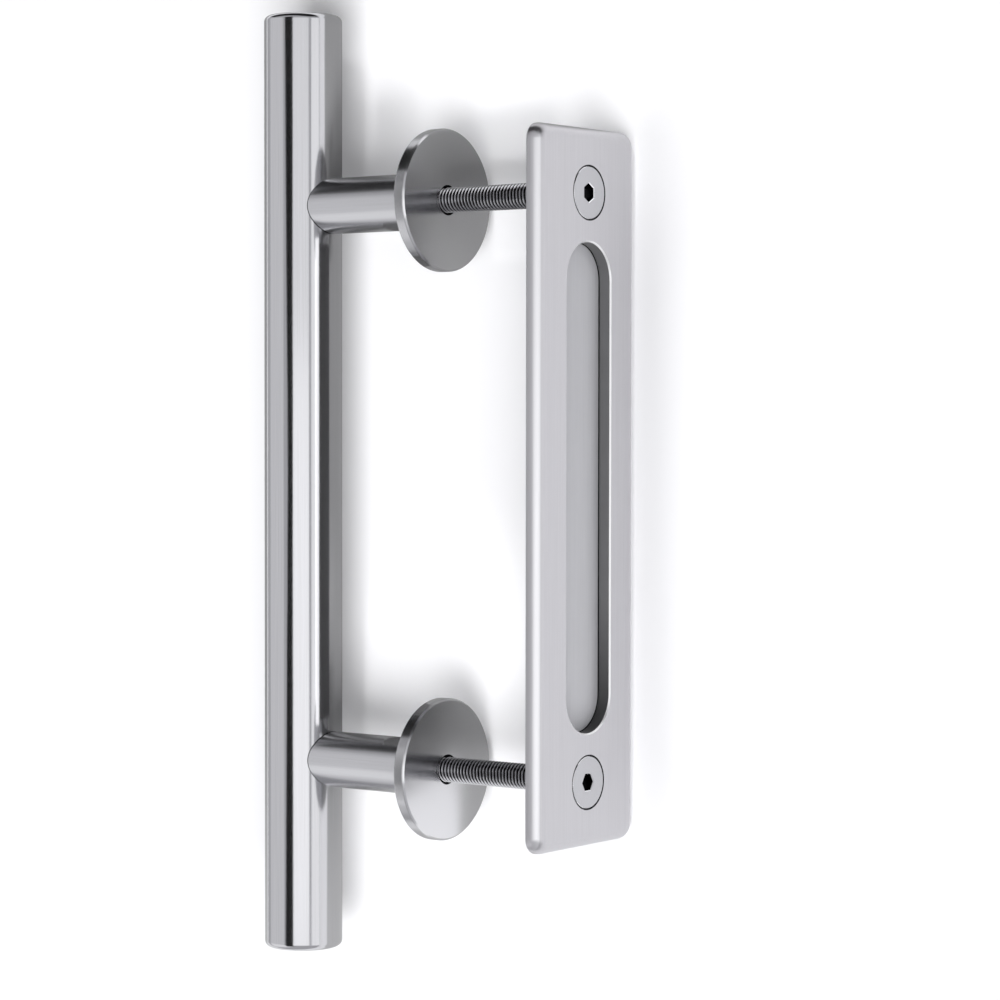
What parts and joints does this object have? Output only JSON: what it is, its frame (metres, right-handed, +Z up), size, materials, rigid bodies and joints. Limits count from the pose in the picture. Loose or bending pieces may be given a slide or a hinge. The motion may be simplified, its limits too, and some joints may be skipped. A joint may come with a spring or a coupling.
{
  "type": "barn door pull handle",
  "caption": "Double-sided sliding-door pull: round bar on posts and rosettes, bolted through the door to a flush plate with a finger recess.",
  "frame": {"origin": "midway between the two bolts, on the plane where the rosettes lie on the door", "axes": "+X through the door from the bar's side to the flush plate, +Z up along the bar, +Y across the plate"},
  "size_m": [0.1272, 0.051, 0.3048],
  "materials": {
    "bar": "fine lengthwise brushing",
    "post": "fine lengthwise brushing",
    "rosette": "faced and rim-polished",
    "bolt": "rolled thread, plain",
    "plate": "vertical brushing",
    "backing": "vertical brushing",
    "inner": "as turned"
  },
  "bodies": {
    "root": {"grip_tube": "bar", "top_end_cap": "bar", "bottom_end_cap": "bar", "upper_post": "post", "lower_post": "post", "upper_rosette": "rosette", "lower_rosette": "rosette", "upper_bolt": "bolt", "lower_bolt": "bolt", "flush_plate": "plate", "recess_backing": "backing", "upper_anchor_slug": "inner", "lower_anchor_slug": "inner", "upper_post_stud": "inner", "lower_post_stud": "inner"}
  },
  "joints": []
}
